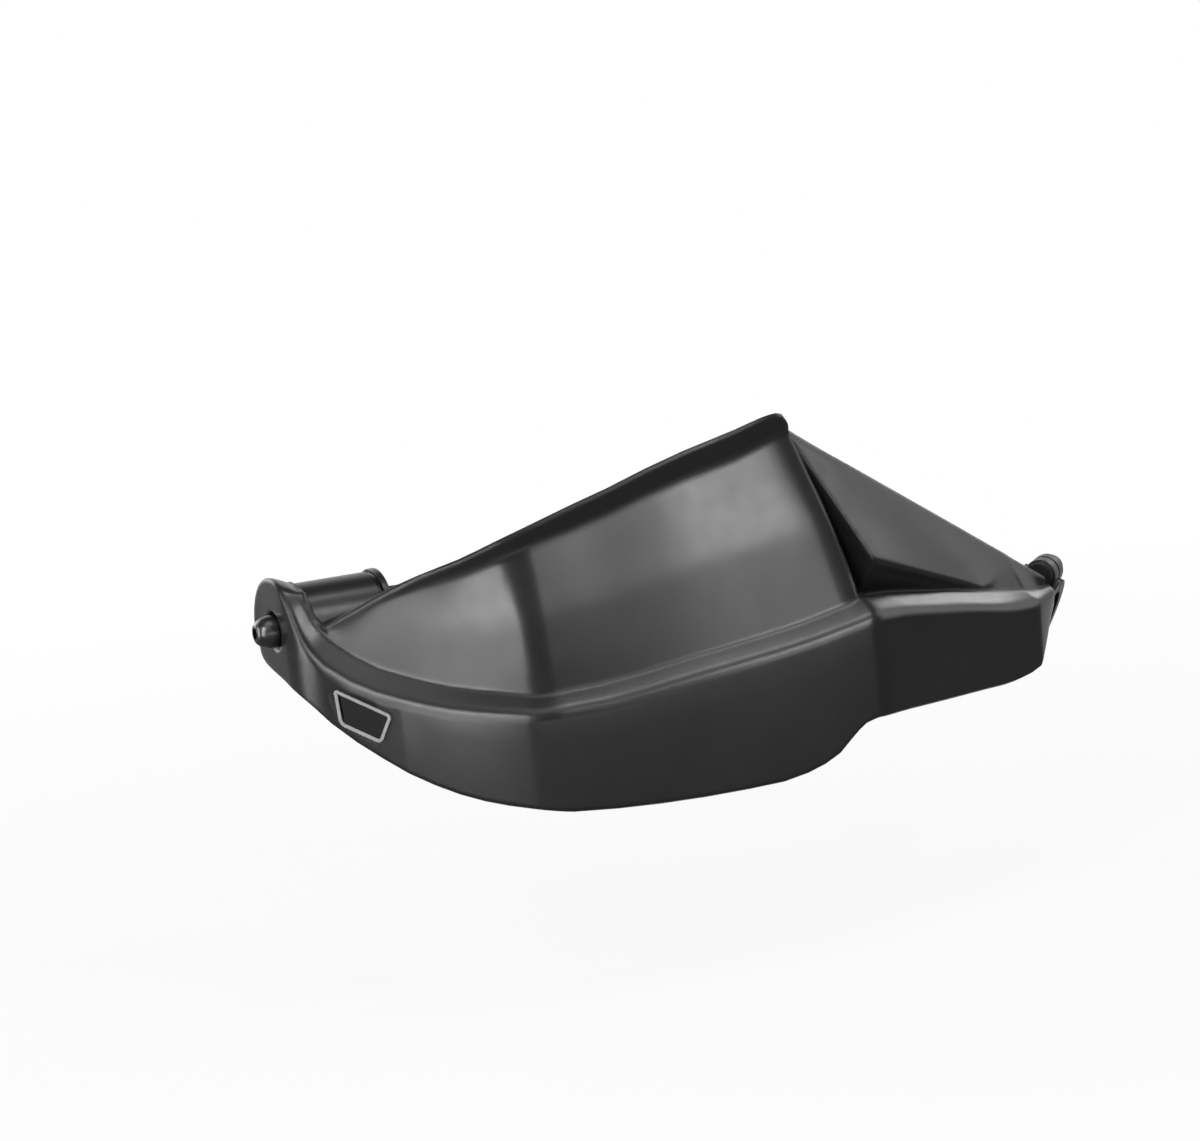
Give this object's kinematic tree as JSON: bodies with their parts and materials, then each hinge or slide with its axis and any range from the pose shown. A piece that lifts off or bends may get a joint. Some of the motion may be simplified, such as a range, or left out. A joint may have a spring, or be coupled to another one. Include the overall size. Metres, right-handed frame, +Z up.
{
  "type": "motorcycle hand guard",
  "caption": "Rider's right hand guard: black moulded shell with a bar-end weight and expander at its outer end and a split handlebar clamp at its inner end.",
  "frame": {"origin": "middle of the handlebar's end face, where the bar-end weight's collar rests", "axes": "+X along the handlebar's end towards the motorcycle's middle, -Y forwards, +Z up"},
  "size_m": [0.295, 0.0954, 0.1151],
  "materials": {
    "shell_plastic": "fine grained satin, moulded black",
    "badge_black": "smooth black field with a light grey raised edge, bare",
    "bolt_steel": "dark and smooth",
    "dark_steel": "black oxide",
    "black_metal": "satin black coat",
    "zinc_steel": "zinc plated",
    "black_rubber": "matt",
    "yellow_zinc": "yellow zinc plated",
    "insert_brass": "plain",
    "black_aluminium": "black anodised"
  },
  "bodies": {
    "root": {"guard_shell": "shell_plastic", "badge_plate": "badge_black", "bar_end_bolt": "bolt_steel", "bar_end_washer": "dark_steel", "bar_end_weight": "black_metal", "expander_washer": "zinc_steel", "expander_sleeve": "black_rubber", "expander_nut": "yellow_zinc", "insert_outer": "insert_brass", "insert_inner": "insert_brass", "inner_bracket": "black_metal", "bracket_bolt_outer": "dark_steel", "bracket_bolt_inner": "dark_steel", "bracket_washer_outer": "zinc_steel", "bracket_washer_inner": "zinc_steel", "clamp_front_half": "black_aluminium", "clamp_rear_half": "black_aluminium", "clamp_bolt_upper": "dark_steel", "clamp_bolt_lower": "dark_steel", "clamp_washer_upper": "zinc_steel", "clamp_washer_lower": "zinc_steel", "lug_bolt": "dark_steel", "lug_washer": "zinc_steel", "lug_nut": "zinc_steel"}
  },
  "joints": []
}
